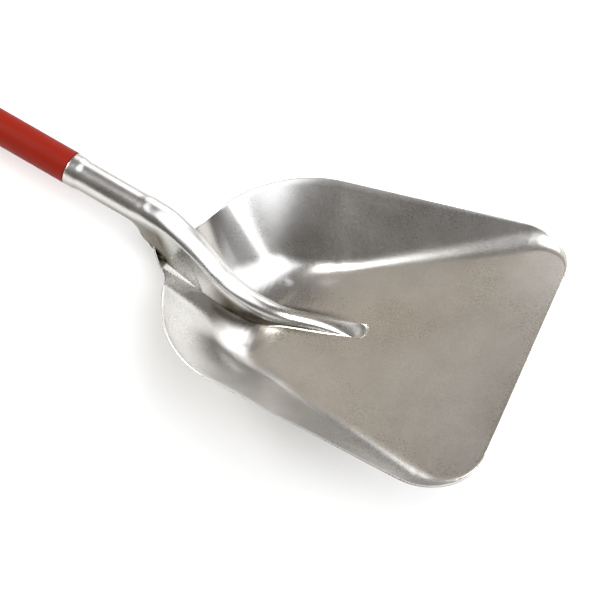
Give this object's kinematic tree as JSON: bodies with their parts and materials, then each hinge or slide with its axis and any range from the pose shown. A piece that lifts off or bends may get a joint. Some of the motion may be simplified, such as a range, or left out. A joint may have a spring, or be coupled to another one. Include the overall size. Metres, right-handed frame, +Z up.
{
  "type": "grain scoop shovel",
  "caption": "Scoop shovel with a deep pressed aluminium blade, a tubular socket that runs into a rib, and a straight round wooden handle.",
  "frame": {"origin": "middle of the shovel's length, on the surface that it lies on, in the centre plane", "axes": "+X towards the lip of the blade, along the shovel's length; +Y across, normal to the centre plane; +Z up. The shovel lies at rest on the heel of the blade and the butt of the handle."},
  "size_m": [1.6252, 0.3556, 0.1946],
  "materials": {
    "aluminium_sheet": "satin, pickled, with fine scratches",
    "red_lacquered_wood": "satin red lacquer",
    "nail_steel": "dull zinc"
  },
  "bodies": {
    "root": {"blade_with_socket": "aluminium_sheet", "wooden_handle": "red_lacquered_wood", "socket_nail": "nail_steel"}
  },
  "joints": []
}
